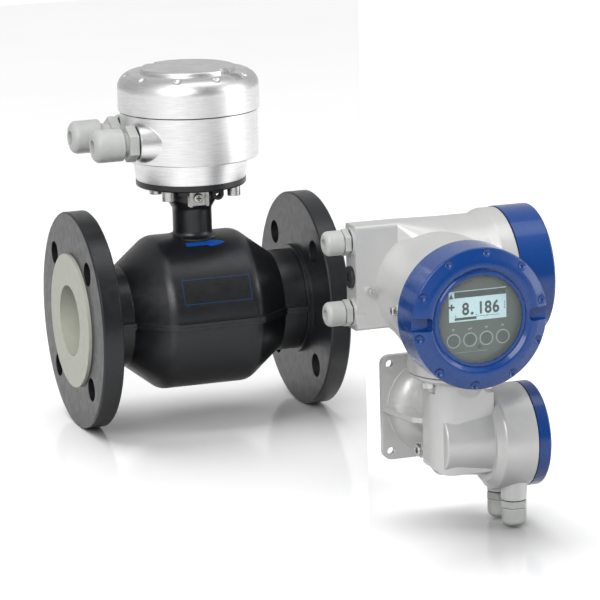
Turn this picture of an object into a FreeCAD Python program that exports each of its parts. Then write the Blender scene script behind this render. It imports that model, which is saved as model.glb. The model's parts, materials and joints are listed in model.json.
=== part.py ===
"""Electromagnetic flow meter: a flanged DN 50 flow sensor and its wall-mounted signal converter.

Frame: origin at the middle of the flow bore, +X along the flow, +Z up towards the connection box.
The converter stands beside the sensor, its display towards -Y and its wall plate towards +Y.
All lengths are in millimetres and all angles in degrees.
"""
import FreeCAD, Part
import math
import os
import re

import Sketcher

Vector = FreeCAD.Vector
Rotation = FreeCAD.Rotation

doc = FreeCAD.newDocument("electromagnetic_flow_meter")

# ---------------------------------------------------------------- driving dimensions

SIZES = {
    # flow tube, liner and flanges
    "face_to_face": 200,
    "bore_radius": 27,
    "liner_wall": 2.5,
    "liner_face": 2.5,
    "liner_face_radius": 51,
    "tube_wall": 2,
    "flange_radius": 82.5,
    "flange_thick": 16,
    "flange_bevel": 1,
    "hub_radius": 42,
    "hub_length": 4,
    "bolt_circle": 125,
    "bolt_hole": 18,
    # housing shells round the coils
    "collar_radius": 38.8,
    "drum_radius": 59,
    "drum_half": 34,
    "drum_rounding": 13,
    "cone_angle": 37.8,
    "shell_wall": 1.8,
    "lip_width": 4.2,
    "lip_half": 2.5,
    # coils, pole shoes and electrodes
    "pole_half": 22,
    "pole_thick": 3,
    "core_radius": 12,
    "coil_radius": 23,
    "coil_height": 15,
    "seat_gap": 0.3,
    "electrode_head": 5,
    "electrode_stem": 2.4,
    "electrode_nut": 6,
    # neck and mounting ring
    "neck_radius": 15,
    "neck_bore": 12.5,
    "neck_flare": 18.5,
    "neck_plate": 23,
    "ring_radius": 42,
    "ring_base": 97.6,
    "ring_thick": 5,
    "ring_screw_x": 26,
    "ring_screw_y": 16,
    "ring_screw_head": 5,
    "ring_screw_height": 9,
    "ring_screw_shift": 2.7,
    "ear_radius": 4.5,
    "clamp_x": -3,
    "clamp_width": 15,
    "clamp_height": 12,
    # connection box on the sensor
    "cup_foot": 41.7,
    "cup_radius": 44,
    "cup_height": 16.5,
    "box_radius": 52.2,
    "box_wall": 4,
    "box_height": 52.5,
    "box_lid_radius": 53.8,
    "box_seal_lip": 0.6,
    "box_lid_height": 29.5,
    "box_lid_rounding": 12,
    "grip_radius": 36,
    "grip_height": 3,
    "box_entry_y": 23,
    "box_entry_rise": 33.4,
    "box_entry_reach": 49.5,
    "box_entry_radius": 14.5,
    "box_gland_radius": 12.5,
    "box_gland_hex": 7.2,
    "box_gland_neck": 3.5,
    "box_gland_cap": 22.5,
    "rear_gland_neck": 7.5,
    "gland_neck": 0.4,
    # screw covers
    "skirt_length": 9,
    "skirt_play": 0.35,
    "seal_thick": 0.8,
    "dimple_radius": 4,
    "dimple_count": 10,
    "notch_width": 9,
    "notch_depth": 3.5,
    "notch_azimuth": -56,
    "cover_edge": 1.5,
    "cover_dome": 3.4,
    "cover_shoulder": 9,
    # place of the converter: the axis of its neck and the seam that it swivels on
    "swivel_x": 141,
    "swivel_y": -190,
    "swivel_z": -20.5,
    # converter head
    "head_rise": 70,
    "barrel_radius": 44.5,
    "end_reach": 82.5,
    "end_depth": 20,
    "end_low": 38,
    "end_high": 115,
    "end_rounding": 3,
    "slab_reach": 50,
    "wedge_reach": 16,
    "head_collar_radius": 47.5,
    "head_collar_start": 12.5,
    "head_collar_end": 30.3,
    "side_cover_radius": 48,
    "side_cover_height": 26.5,
    "display_x": -18.4,
    "display_rise": 57.1,
    "boss_radius": 49.5,
    "boss_reach": 57,
    "boss_root_x": -24.9,
    "boss_root_rise": 66.5,
    "boss_root_radius": 42.5,
    "boss_root_reach": 12,
    "display_cover_radius": 51.3,
    "display_cover_height": 30,
    "slot_width": 9.5,
    "slot_depth": 2.5,
    "window_radius": 32,
    "window_land": 10.3,
    "window_thick": 3,
    "window_sink": 0.2,
    "faceplate_thick": 2,
    "electronics_depth": 28,
    "lcd_width": 44,
    "lcd_height": 22.2,
    "lcd_rise": 9.5,
    "key_pitch": 12.5,
    "key_drop": 15.2,
    "key_radius": 4.9,
    "stub_radius": 38,
    "head_entry_pitch": 26,
    "seat_height": 1.5,
    "head_gland_radius": 9,
    "head_gland_hex": 4.5,
    "head_gland_cap": 13.5,
    # converter base
    "neck_drop": 27,
    "column_depth": 75,
    "column_half": 21,
    "column_rounding": 18,
    "shoulder_drop": 15,
    "base_drop": 54.5,
    "base_barrel_radius": 25.5,
    "base_barrel_draft": 4,
    "base_barrel_lift": 2,
    "base_collar_radius": 39,
    "base_collar_start": 16.5,
    "base_collar_end": 46.3,
    "base_cover_height": 10,
    "base_entry_x": 36.5,
    "base_entry_y": 13.5,
    "base_entry_end": 99.5,
    "base_entry_radius": 9.4,
    "base_gland_radius": 9.2,
    "base_gland_hex": 5,
    "base_gland_cap": 13.5,
    "arm_radius": 21,
    "arm_flare": 15,
    "plate_back": 60,
    "plate_thick": 5,
    "plate_half": 40,
    "plate_rounding": 7,
    "plate_drop": 39,
    "plate_hole": 6,
    "plate_pitch": 67,
    "swivel_screw_circle": 30.5,
    "swivel_screw_drop": 5,
}

sizes = doc.addObject("Spreadsheet::Sheet", "sizes")
for row, (alias, number) in enumerate(SIZES.items(), start=1):
    sizes.set("A%d" % row, str(number))
    sizes.setAlias("A%d" % row, alias)
doc.recompute()

ALIASES = re.compile(r"\b(%s)\b" % "|".join(sorted(SIZES, key=len, reverse=True)))


def bound(text):
    """The expression that reads the named sizes in text from the sheet."""
    return ALIASES.sub(r"sizes.\1", str(text))


def value(text):
    """The number that the expression text has now."""
    return float(sizes.evalExpression(bound(text)))


def plus(*terms):
    """The sum of several expressions, each kept in its own brackets."""
    return " + ".join("(%s)" % term for term in terms)


# ---------------------------------------------------------------- helpers for sketches

def origin_feature(body, role):
    for feature in body.Origin.OriginFeatures:
        if feature.Role == role:
            return feature
    raise LookupError(role)


def bind(sketch, kind, geometry, vertex, text):
    """Bind one coordinate of a sketch vertex to an expression."""
    row = sketch.addConstraint(Sketcher.Constraint(kind, -1, 1, geometry, vertex, value(text)))
    sketch.setExpression("Constraints[%d]" % row, bound(text))


def round_corner(point, before, after, radius):
    """The arc that rounds a corner, and the points where it meets the two sides."""
    to_before = (before - point).normalize()
    to_after = (after - point).normalize()
    half = math.acos(max(-1.0, min(1.0, to_before.dot(to_after)))) / 2
    reach = radius / math.tan(half)
    centre = point + (to_before + to_after).normalize() * (radius / math.sin(half))
    return centre, point + to_before * reach, point + to_after * reach


def outline(sketch, corners):
    """Draw a closed outline. Each corner is (x, y) or (x, y, rounding), as expressions."""
    points = [Vector(value(corner[0]), value(corner[1]), 0) for corner in corners]
    entries = list(points)
    exits = list(points)
    arcs = {}
    for index, corner in enumerate(corners):
        if len(corner) == 3:
            after = points[(index + 1) % len(points)]
            arcs[index] = round_corner(points[index], points[index - 1], after, value(corner[2]))
            entries[index] = arcs[index][1]
            exits[index] = arcs[index][2]
    first = sketch.GeometryCount
    for index in range(len(points)):
        end = entries[(index + 1) % len(points)]
        sketch.addGeometry(Part.LineSegment(exits[index], end), False)
    for index, corner in enumerate(corners):
        line_out = first + index
        line_in = first + (index - 1) % len(points)
        if index not in arcs:
            sketch.addConstraint(Sketcher.Constraint("Coincident", line_in, 2, line_out, 1))
            bind(sketch, "DistanceX", line_out, 1, corner[0])
            bind(sketch, "DistanceY", line_out, 1, corner[1])
            continue
        centre, entry, leave = arcs[index]
        add_corner_arc(sketch, corner, points[index], centre, entry, leave, line_in, line_out)


def add_corner_arc(sketch, corner, point, centre, entry, leave, line_in, line_out):
    """Round one corner of an outline with an arc that stays tangent to both sides."""
    start = entry - centre
    stop = leave - centre
    forward = start.cross(stop).z > 0
    if not forward:
        start, stop = stop, start
    circle = Part.Circle(centre, Vector(0, 0, 1), start.Length)
    angles = [math.atan2(arm.y, arm.x) for arm in (start, stop)]
    arc = sketch.addGeometry(Part.ArcOfCircle(circle, *angles), False)
    mark = sketch.addGeometry(Part.Point(point), True)
    arc_in, arc_out = (1, 2) if forward else (2, 1)
    sketch.addConstraint(Sketcher.Constraint("PointOnObject", mark, 1, line_in))
    sketch.addConstraint(Sketcher.Constraint("PointOnObject", mark, 1, line_out))
    sketch.addConstraint(Sketcher.Constraint("Tangent", line_in, 2, arc, arc_in))
    sketch.addConstraint(Sketcher.Constraint("Tangent", arc, arc_out, line_out, 1))
    row = sketch.addConstraint(Sketcher.Constraint("Radius", arc, value(corner[2])))
    sketch.setExpression("Constraints[%d]" % row, bound(corner[2]))
    bind(sketch, "DistanceX", mark, 1, corner[0])
    bind(sketch, "DistanceY", mark, 1, corner[1])


def new_sketch(body, name, plane, offset="0"):
    sketch = body.newObject("Sketcher::SketchObject", name)
    sketch.AttachmentSupport = [(origin_feature(body, plane), "")]
    sketch.MapMode = "FlatFace"
    sketch.setExpression("AttachmentOffset.Base.z", bound(offset))
    return sketch


# ---------------------------------------------------------------- helpers for solids

TURNS = {
    "+X": Rotation(Vector(0, 1, 0), 90),
    "-X": Rotation(Vector(0, 1, 0), -90),
    "+Y": Rotation(Vector(1, 0, 0), -90),
    "-Y": Rotation(Vector(1, 0, 0), 90),
    "+Z": Rotation(),
    "-Z": Rotation(Vector(1, 0, 0), 180),
}
ORIGIN = ("0", "0", "0")


def place(item, at, rotation):
    """Turn an object and bind its position to the sheet."""
    item.Placement = FreeCAD.Placement(Vector(), rotation)
    for letter, text in zip("xyz", at):
        item.setExpression("Placement.Base." + letter, bound(text))
    return item


def turned(name, corners, at=ORIGIN, direction="+Z", angle=360, rotation=None):
    """A turned solid. Each corner is (distance along the axis, radius[, rounding])."""
    body = doc.addObject("PartDesign::Body", name)
    sketch = new_sketch(body, name + "_profile", "XZ_Plane")
    outline(sketch, [(radius, along, *rest) for along, radius, *rest in corners])
    turn = body.newObject("PartDesign::Revolution", name + "_turn")
    turn.Profile = sketch
    turn.ReferenceAxis = (origin_feature(body, "Z_Axis"), [""])
    turn.Angle = angle
    turn.Midplane = angle < 360
    return place(body, at, rotation or TURNS[direction])


def pad(name, plane, outlines, length, start="0", at=ORIGIN):
    """A prism on one of its body's origin planes."""
    body = doc.addObject("PartDesign::Body", name)
    add_pad(body, name, plane, outlines, length, start)
    return place(body, at, Rotation())


def add_pad(body, name, plane, outlines, length, start="0"):
    sketch = new_sketch(body, name + "_outline", plane, start)
    for corners in outlines:
        outline(sketch, corners)
    feature = body.newObject("PartDesign::Pad", name + "_pad")
    feature.Profile = sketch
    feature.setExpression("Length", bound(length))


def cylinder(name, radius, length, at, direction="+Z"):
    item = doc.addObject("Part::Cylinder", name)
    item.setExpression("Radius", bound(radius))
    item.setExpression("Height", bound(length))
    return place(item, at, TURNS[direction])


def cone(name, radius, end_radius, length, at, direction="+Z"):
    item = doc.addObject("Part::Cone", name)
    item.setExpression("Radius1", bound(radius))
    item.setExpression("Radius2", bound(end_radius))
    item.setExpression("Height", bound(length))
    return place(item, at, TURNS[direction])


def block(name, lengths, at):
    """A box from its low corner."""
    item = doc.addObject("Part::Box", name)
    for side, text in zip(("Length", "Width", "Height"), lengths):
        item.setExpression(side, bound(text))
    return place(item, at, Rotation())


def ball(name, radius, at):
    item = doc.addObject("Part::Sphere", name)
    item.setExpression("Radius", bound(radius))
    return place(item, at, Rotation())


def fuse(name, shapes):
    item = doc.addObject("Part::MultiFuse", name)
    item.Shapes = shapes
    item.Refine = True
    return item


def cut(name, base, tools):
    item = doc.addObject("Part::Cut", name)
    item.Base = base
    item.Tool = tools[0] if len(tools) == 1 else fuse(name + "_tools", tools)
    item.Refine = True
    return item


def common(name, first, second):
    item = doc.addObject("Part::Common", name)
    item.Base = first
    item.Tool = second
    return item


nodes = []


def node(name, item):
    """Hand over a finished sub-part under its own name."""
    item.Label = name
    nodes.append(item)
    return item


def circle_places(radius, count, first, axial, centre=ORIGIN):
    """Points evenly round an axis along X, Y or Z, as expressions."""
    places = []
    for index in range(count):
        angle = "%g deg" % (first + 360.0 * index / count)
        across = "(%s) * cos(%s)" % (radius, angle)
        upward = "(%s) * sin(%s)" % (radius, angle)
        offsets = {"X": ("0", across, upward), "Y": (across, "0", upward), "Z": (across, upward, "0")}
        places.append(tuple(plus(base, shift) for base, shift in zip(centre, offsets[axial])))
    return places


# ---------------------------------------------------------------- flow tube and flanges

TUBE_INNER = "bore_radius + liner_wall"
TUBE_OUTER = "bore_radius + liner_wall + tube_wall"
HALF = "face_to_face / 2"
FLANGE_FACE = "face_to_face / 2 - liner_face"
FLANGE_BACK = "face_to_face / 2 - liner_face - flange_thick"
HUB_BACK = "face_to_face / 2 - liner_face - flange_thick - hub_length"


def minus(text):
    return "-(%s)" % text


def make_tube():
    corners = [
        (minus(FLANGE_FACE), TUBE_INNER),
        (minus(FLANGE_FACE), TUBE_OUTER),
        (FLANGE_FACE, TUBE_OUTER),
        (FLANGE_FACE, TUBE_INNER),
    ]
    tube = turned("tube_wall_body", corners, direction="+X")
    hole = cylinder("tube_electrode_hole", "electrode_stem + 1", "2 * flange_radius",
                    ("0", "-flange_radius", "0"), "+Y")
    node("measuring_tube", cut("tube_with_holes", tube, [hole]))


def make_liner():
    corners = [
        (minus(HALF), "bore_radius"),
        (minus(HALF), "liner_face_radius"),
        (minus(FLANGE_FACE), "liner_face_radius"),
        (minus(FLANGE_FACE), TUBE_INNER),
        (FLANGE_FACE, TUBE_INNER),
        (FLANGE_FACE, "liner_face_radius"),
        (HALF, "liner_face_radius"),
        (HALF, "bore_radius"),
    ]
    liner = turned("liner_body", corners, direction="+X")
    stems = cylinder("liner_stem_hole", "electrode_stem + 0.1", "2 * flange_radius",
                     ("0", "-flange_radius", "0"), "+Y")
    heads = cylinder("liner_head_seat", "electrode_head + 0.1", "2 * bore_radius + 3",
                     ("0", "-bore_radius - 1.5", "0"), "+Y")
    node("liner", cut("liner_with_seats", liner, [stems, heads]))


def make_flange(name, direction):
    """A weld-neck flange, its sealing side at the far end of the given direction."""
    corners = [
        (HUB_BACK, TUBE_OUTER),
        (HUB_BACK, "hub_radius"),
        (FLANGE_BACK, "hub_radius"),
        (FLANGE_BACK, "flange_radius - flange_bevel"),
        (plus(FLANGE_BACK, "flange_bevel"), "flange_radius"),
        (plus(FLANGE_FACE, "-flange_bevel"), "flange_radius"),
        (FLANGE_FACE, "flange_radius - flange_bevel"),
        (FLANGE_FACE, TUBE_OUTER),
    ]
    disc = turned(name + "_disc", corners, direction=direction)
    sign = "" if direction == "+X" else "-"
    start = (sign + "(%s)" % FLANGE_BACK, "0", "0")
    holes = []
    for index, spot in enumerate(circle_places("bolt_circle / 2", 4, 45, "X", start)):
        holes.append(cylinder("%s_hole_%d" % (name, index), "bolt_hole / 2", "flange_thick", spot, direction))
    node(name, cut(name + "_drilled", disc, holes))


def make_electrode(name, direction):
    corners = [
        ("bore_radius + 0.2", "0"),
        ("bore_radius + 0.2", "electrode_head"),
        ("bore_radius + 1.4", "electrode_head"),
        ("bore_radius + 1.4", "electrode_stem"),
        (plus(TUBE_OUTER, "seat_gap"), "electrode_stem"),
        (plus(TUBE_OUTER, "seat_gap"), "electrode_nut"),
        (plus(TUBE_OUTER, "seat_gap", "4.5"), "electrode_nut"),
        (plus(TUBE_OUTER, "seat_gap", "4.5"), "electrode_stem"),
        (plus(TUBE_OUTER, "seat_gap", "9"), "electrode_stem"),
        (plus(TUBE_OUTER, "seat_gap", "9"), "0"),
    ]
    node(name, turned(name, corners, direction=direction))


SADDLE_FOOT = plus(TUBE_OUTER, "seat_gap")
SADDLE_TOP = plus(TUBE_OUTER, "seat_gap", "pole_thick")


def make_pole_shoe(name, direction):
    """A saddle that hugs the tube, with the round core of its coil."""
    up = direction == "+Z"
    outer = cylinder(name + "_outer", SADDLE_TOP, "2 * pole_half", ("-pole_half", "0", "0"), "+X")
    inner = cylinder(name + "_inner", SADDLE_FOOT, "2 * pole_half", ("-pole_half", "0", "0"), "+X")
    low = "0" if up else "-coil_radius * 3"
    window = block(name + "_window", ("2 * pole_half", "2 * pole_half", "coil_radius * 3"),
                   ("-pole_half", "-pole_half", low))
    saddle = common(name + "_saddle", cut(name + "_ring", outer, [inner]), window)
    sign = "" if up else "-"
    foot = (("0", "0", sign + "(%s)" % plus(SADDLE_FOOT, "1")))
    core = cylinder(name + "_core", "core_radius", plus("pole_thick", "coil_height", "-0.5"), foot, direction)
    node(name, fuse(name + "_solid", [saddle, core]))


def make_coil(name, direction):
    start = plus(SADDLE_TOP, "seat_gap")
    stop = plus(SADDLE_TOP, "seat_gap", "coil_height")
    corners = [
        (start, "core_radius + seat_gap"),
        (start, "coil_radius"),
        (stop, "coil_radius", "2"),
        (stop, "core_radius + seat_gap"),
    ]
    node(name, turned(name, corners, direction=direction))


# ---------------------------------------------------------------- housing shells

CONE_RUN = "(drum_radius - collar_radius) / tan(cone_angle)"
CORNER_SHIFT = "shell_wall * tan(cone_angle / 2)"


def shell_corners(offset, shift):
    """The shell's line from end to end, moved outwards by offset along the radius."""
    bend = plus("drum_half", shift)
    foot = plus("drum_half", CONE_RUN, shift)
    drum = plus("drum_radius", offset)
    collar = plus("collar_radius", offset)
    rounding = plus("drum_rounding", offset)
    return [
        (minus(HUB_BACK), collar),
        (minus(foot), collar),
        (minus(bend), drum, rounding),
        (bend, drum, rounding),
        (foot, collar),
        (HUB_BACK, collar),
    ]


def make_half_shell(name, rotation, neck_hole):
    """Half of the drum, cones and collars, pressed from sheet, with its weld lips."""
    outside = shell_corners("0", "0")
    inside = shell_corners("-shell_wall", minus(CORNER_SHIFT))
    lip_edge = shell_corners("lip_width", "0")
    shell = turned(name + "_sheet", outside + inside[::-1], angle=180, rotation=rotation)
    for side, sign in (("front", "-"), ("rear", "")):
        rim = [("%s(%s)" % (sign, corner[1]), corner[0], *corner[2:]) for corner in lip_edge + inside[::-1]]
        add_pad(shell, "%s_%s_lip" % (name, side), "YZ_Plane", [rim], "lip_half")
    if neck_hole:
        hole = cylinder(name + "_neck_hole", "neck_bore", "drum_radius", ORIGIN, "+Z")
        shell = cut(name + "_with_hole", shell, [hole])
    node(name, shell)


# ---------------------------------------------------------------- neck and mounting ring

RING_TOP = "ring_base + ring_thick"


def make_neck():
    """The neck, its weld bead on the drum and the plate that carries the ring."""
    corners = [
        ("drum_radius - 9", "neck_bore"),
        ("drum_radius - 9", "neck_radius + 5"),
        ("drum_radius - 1.5", "neck_radius + 5"),
        ("drum_radius - 1.5", "neck_radius", "4.5"),
        ("ring_base - 18.5", "neck_radius", "5"),
        ("ring_base - 12.5", "neck_flare", "4"),
        ("ring_base - 6.5", "neck_flare"),
        ("ring_base - 6.5", "neck_plate"),
        ("ring_base", "neck_plate"),
        ("ring_base", "neck_bore"),
    ]
    neck = turned("neck_body", corners)
    drum = cylinder("neck_drum_cut", "drum_radius", "2 * drum_half", ("-drum_half", "0", "0"), "+X")
    node("sensor_neck", cut("neck_on_drum", neck, [drum]))


def ring_screw_places(height):
    return [(plus("ring_screw_shift", sx + "ring_screw_x"), plus(sy + "ring_screw_y"), height)
            for sx in ("-", "") for sy in ("-", "")]


def make_mounting_ring():
    """A black ring under the box, with a cast ear for a tag wire and bosses for its screws."""
    corners = [
        ("ring_base", "neck_bore"),
        ("ring_base", "ring_radius - 1"),
        ("ring_base + 1", "ring_radius"),
        (RING_TOP, "ring_radius"),
        (RING_TOP, "neck_bore"),
    ]
    disc = turned("ring_disc", corners)
    ear_at = ("ring_screw_shift + 9", "-neck_plate - 7", "ring_base - ear_radius")
    web = block("ring_ear_web", ("2 * ear_radius", "5", "ear_radius"), ahead(ear_at, "-X", "ear_radius"))
    ear = fuse("ring_ear", [web, cylinder("ring_ear_eye", "ear_radius", "5", ear_at, "+Y")])
    ear_hole = cylinder("ring_ear_hole", "1.8", "5", ear_at, "+Y")
    holes = [cylinder("ring_screw_hole_%d" % index, "3.3", "ring_thick", spot)
             for index, spot in enumerate(ring_screw_places("ring_base"))]
    ring = fuse("ring_with_ear", [disc, ear])
    node("mounting_ring", cut("ring_drilled", ring, [ear_hole] + holes))
    screws = []
    for index, spot in enumerate(ring_screw_places("ring_base - ring_screw_height")):
        head = cylinder("ring_screw_head_%d" % index, "ring_screw_head", "ring_screw_height", spot)
        shank = cylinder("ring_screw_shank_%d" % index, "3", "ring_screw_height + ring_thick", spot)
        socket = cylinder("ring_screw_socket_%d" % index, "2.4", "3", spot)
        whole = fuse("ring_screw_%d" % index, [head, shank])
        screws.append(cut("ring_screw_cut_%d" % index, whole, [socket]))
    node("mounting_ring_screws", fuse("ring_screw_group", screws))


def make_ground_clamp():
    """The bent clamp plate and pan-head screw for the grounding wire, in front of the neck plate."""
    front = "-neck_plate - seat_gap"
    low = "ring_base - clamp_height - 1"
    left = "clamp_x - clamp_width / 2"
    back = block("clamp_back", ("clamp_width", "2", "clamp_height"), (left, plus(front, "-2"), low))
    sides = [block("clamp_side_%d" % index, ("2", "6", "clamp_height"), (place_x, plus(front, "-6"), low))
             for index, place_x in enumerate((left, "clamp_x + clamp_width / 2 - 2"))]
    centre = plus(low, "clamp_height / 2")
    hole = cylinder("clamp_hole", "2.1", "20", ("clamp_x", plus(front, "-10"), centre), "+Y")
    node("ground_clamp", cut("clamp_drilled", fuse("clamp_plate", [back] + sides), [hole]))
    corners = [
        ("0.3", "0"),
        ("0.3", "2"),
        ("2.3", "2"),
        ("2.3", "3.7"),
        ("5", "3.7", "1.2"),
        ("5", "0"),
    ]
    node("ground_screw", turned("ground_screw", corners, ("clamp_x", "-neck_plate", centre), "-Y"))


# ---------------------------------------------------------------- screw covers and glands

def cover_profile(radius, height, rounding, bore, extra=()):
    """A hollow screw cover: threaded skirt below its seam at 0, closed end at height."""
    skirt = plus(bore, "-skirt_play")
    return [
        ("-skirt_length", plus(skirt, "-3")),
        ("-skirt_length", skirt),
        ("seal_thick + 0.1", skirt),
        ("seal_thick + 0.1", radius),
        (height, radius, rounding),
        *extra,
        (height, "0"),
        (plus(height, "-5"), "0"),
        (plus(height, "-5"), plus(skirt, "-3")),
    ]


def shouldered(corners, radius, height):
    """The same cover with a crisp edge and a low dome in place of its rounded end."""
    top = plus(height, "cover_dome")
    floor = plus(top, "-5")
    end = [
        (height, radius, "cover_edge"),
        (top, plus(radius, "-cover_shoulder"), "14"),
        (top, "0"),
        (floor, "0"),
        (floor, corners[0][1]),
    ]
    return corners[:4] + end


def seal_ring(name, radius, bore, at, direction):
    """The flat ring that a screw cover closes on."""
    inner = plus(bore, "0.2")
    corners = [
        ("0", inner),
        ("0", radius),
        ("seal_thick", radius),
        ("seal_thick", inner),
    ]
    node(name, turned(name, corners, at, direction))


def dimples(name, radius, height, axial, centre, first):
    """Round dents for a hook wrench, evenly round a cover's rim."""
    count = int(SIZES["dimple_count"])
    tools = []
    for index, spot in enumerate(circle_places(radius, count, first, axial, centre)):
        shift = {"X": (height, "0", "0"), "Y": (minus(height), "0", "0"), "Z": ("0", "0", height)}[axial]
        if axial == "Y":
            shift = ("0", minus(height), "0")
        at = tuple(plus(base, extra) for base, extra in zip(spot, shift))
        tools.append(ball("%s_dimple_%d" % (name, index), "dimple_radius", at))
    return tools


HEX_CORNER = 1 / math.cos(math.radians(30))


def hexagon(name, flat_radius, length, at, direction):
    """A hexagonal prism, from half its width across flats."""
    item = doc.addObject("Part::Prism", name)
    item.Polygon = 6
    item.setExpression("Circumradius", bound("(%s) * %.6f" % (flat_radius, HEX_CORNER)))
    item.setExpression("Height", bound(length))
    return place(item, at, TURNS[direction])


AXES = {"+X": (1, 0, 0), "-X": (-1, 0, 0), "+Y": (0, 1, 0), "-Y": (0, -1, 0), "+Z": (0, 0, 1), "-Z": (0, 0, -1)}


def ahead(at, direction, distance):
    """A point moved along a direction, as expressions."""
    return tuple(plus(base, "%d * (%s)" % (step, distance)) for base, step in zip(at, AXES[direction]))


def make_gland(name, sizes_of, at, direction):
    """A cable gland on the face at the point at: hexagonal body with shank, and its domed cap nut."""
    radius, hex_length, neck, cap_length, shank_inside = sizes_of
    seat = ahead(at, direction, "seal_thick + 0.1")
    shank_radius = "(%s) * 0.72" % radius
    cable_radius = "(%s) * 0.42" % radius
    start = plus(hex_length, neck)
    shank_end = plus(start, "(%s) * 0.45" % radius)
    shank = turned(name + "_shank", [
        (minus(shank_inside), "0"),
        (minus(shank_inside), shank_radius),
        (shank_end, shank_radius),
        (shank_end, "0"),
    ], seat, direction)
    nut = hexagon(name + "_hexagon", "(%s) * 0.96" % radius, hex_length, seat, direction)
    bore = cylinder(name + "_bore", plus(cable_radius, "0.3"), plus(shank_end, shank_inside, "1"),
                    ahead(seat, direction, minus(shank_inside)), direction)
    node(name + "_body", cut(name + "_body_bored", fuse(name + "_body_solid", [shank, nut]), [bore]))
    stop = plus(start, cap_length)
    inner = plus(shank_radius, "0.1")
    step = plus(shank_end, "(%s) * 0.07" % radius)
    node(name + "_cap", turned(name + "_cap_dome", [
        (start, inner),
        (start, radius, "0.8"),
        (stop, radius, cable_radius),
        (stop, cable_radius),
        (step, cable_radius),
        (step, inner),
    ], seat, direction))


BOX_GLAND = ("box_gland_radius", "box_gland_hex", "box_gland_neck", "box_gland_cap", "3.5")
REAR_BOX_GLAND = ("box_gland_radius", "box_gland_hex", "rear_gland_neck", "box_gland_cap", "3.5")
HEAD_GLAND = ("head_gland_radius", "head_gland_hex", "gland_neck", "head_gland_cap", "8")
BASE_GLAND = ("base_gland_radius", "base_gland_hex", "gland_neck", "base_gland_cap", "8")


def gland_seals(name, radius, spots, direction):
    """The flat rubber rings under a pair of glands."""
    rings = []
    for index, at in enumerate(spots):
        rings.append(turned("%s_%d" % (name, index), [
            ("0", "(%s) * 0.72 + 0.1" % radius),
            ("0", plus(radius, "-0.3")),
            ("seal_thick", plus(radius, "-0.3")),
            ("seal_thick", "(%s) * 0.72 + 0.1" % radius),
        ], at, direction))
    node(name, fuse(name + "_group", rings))


# ---------------------------------------------------------------- connection box

BOX_SEAM = plus(RING_TOP, "box_height")
BOX_BORE = "box_radius - box_wall"
BOX_SEAM_POINT = ("0", "0", BOX_SEAM)
BOX_ENTRY_Z = plus(RING_TOP, "box_entry_rise")


def box_entries():
    return [("-box_entry_reach", "-box_entry_y", BOX_ENTRY_Z), ("-box_entry_reach", "box_entry_y", BOX_ENTRY_Z)]


def make_connection_box():
    corners = [
        (RING_TOP, "neck_bore"),
        (RING_TOP, "cup_foot"),
        (plus(RING_TOP, "cup_height"), "cup_radius"),
        (plus(RING_TOP, "cup_height"), "box_radius", "1"),
        (BOX_SEAM, "box_radius"),
        (BOX_SEAM, BOX_BORE),
        (plus(RING_TOP, "cup_height", "4"), BOX_BORE),
        (plus(RING_TOP, "cup_height", "4"), "cup_radius - 6"),
        (plus(RING_TOP, "6"), "cup_radius - 8"),
        (plus(RING_TOP, "6"), "neck_bore"),
    ]
    shell = turned("box_shell", corners)
    room = cylinder("box_room", BOX_BORE, "box_height", ("0", "0", plus(RING_TOP, "cup_height", "4")))
    bosses = []
    bores = []
    for index, spot in enumerate(box_entries()):
        bosses.append(cone("box_boss_%d" % index, "box_entry_radius", "box_entry_radius + 5", "box_entry_reach - 12",
                           spot, "+X"))
        bores.append(cylinder("box_entry_%d" % index, "box_gland_radius * 0.72 + 0.1", "box_entry_reach", spot, "+X"))
        bores.append(cylinder("box_spot_face_%d" % index, "box_entry_radius", "box_radius", spot, "-X"))
    ears = cut("box_ears", fuse("box_ear_solid", bosses), [room])
    screws = [cylinder("box_screw_hole_%d" % index, "2.5", "5", spot)
              for index, spot in enumerate(ring_screw_places(RING_TOP))]
    node("connection_box", cut("box_drilled", fuse("box_solid", [shell, ears]), bores + screws))


def radial_notch(name, azimuth, low):
    """A slot across the rim of the lid's grip, pointing away from the axis."""
    item = block(name, ("box_lid_radius - grip_radius", "notch_width", "notch_depth + grip_height"), ORIGIN)
    item.setExpression("Placement.Rotation.Angle", bound("(%s) * 1 deg" % azimuth))
    inner = "(grip_radius - 4)"
    half = "(notch_width / 2)"
    turn = {"a": "(%s) * 1 deg" % azimuth}
    item.setExpression("Placement.Base.x", bound(inner + " * cos(%(a)s) + " % turn + half + " * sin(%(a)s)" % turn))
    item.setExpression("Placement.Base.y", bound(inner + " * sin(%(a)s) - " % turn + half + " * cos(%(a)s)" % turn))
    item.setExpression("Placement.Base.z", bound(low))
    return item


def make_box_lid():
    raised = plus("box_lid_height", "grip_height")
    extra = [
        ("box_lid_height", "grip_radius"),
        (raised, "grip_radius", "1.5"),
        (raised, "0"),
    ]
    corners = cover_profile("box_lid_radius", "box_lid_height", "box_lid_rounding", BOX_BORE)
    corners = corners[:5] + extra + corners[6:]
    lid = turned("lid_body", corners, BOX_SEAM_POINT)
    tools = dimples("lid", "box_lid_radius - 4.8", "box_lid_height + 0.5", "Z", BOX_SEAM_POINT, 27)
    for index, azimuth in enumerate(("notch_azimuth", "notch_azimuth + 180")):
        tools.append(radial_notch("lid_notch_%d" % index, azimuth, plus(BOX_SEAM, "box_lid_height - notch_depth")))
    node("box_lid", cut("lid_finished", lid, tools))
    seal_ring("box_lid_seal", "box_radius + box_seal_lip", BOX_BORE, BOX_SEAM_POINT, "+Z")


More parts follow.
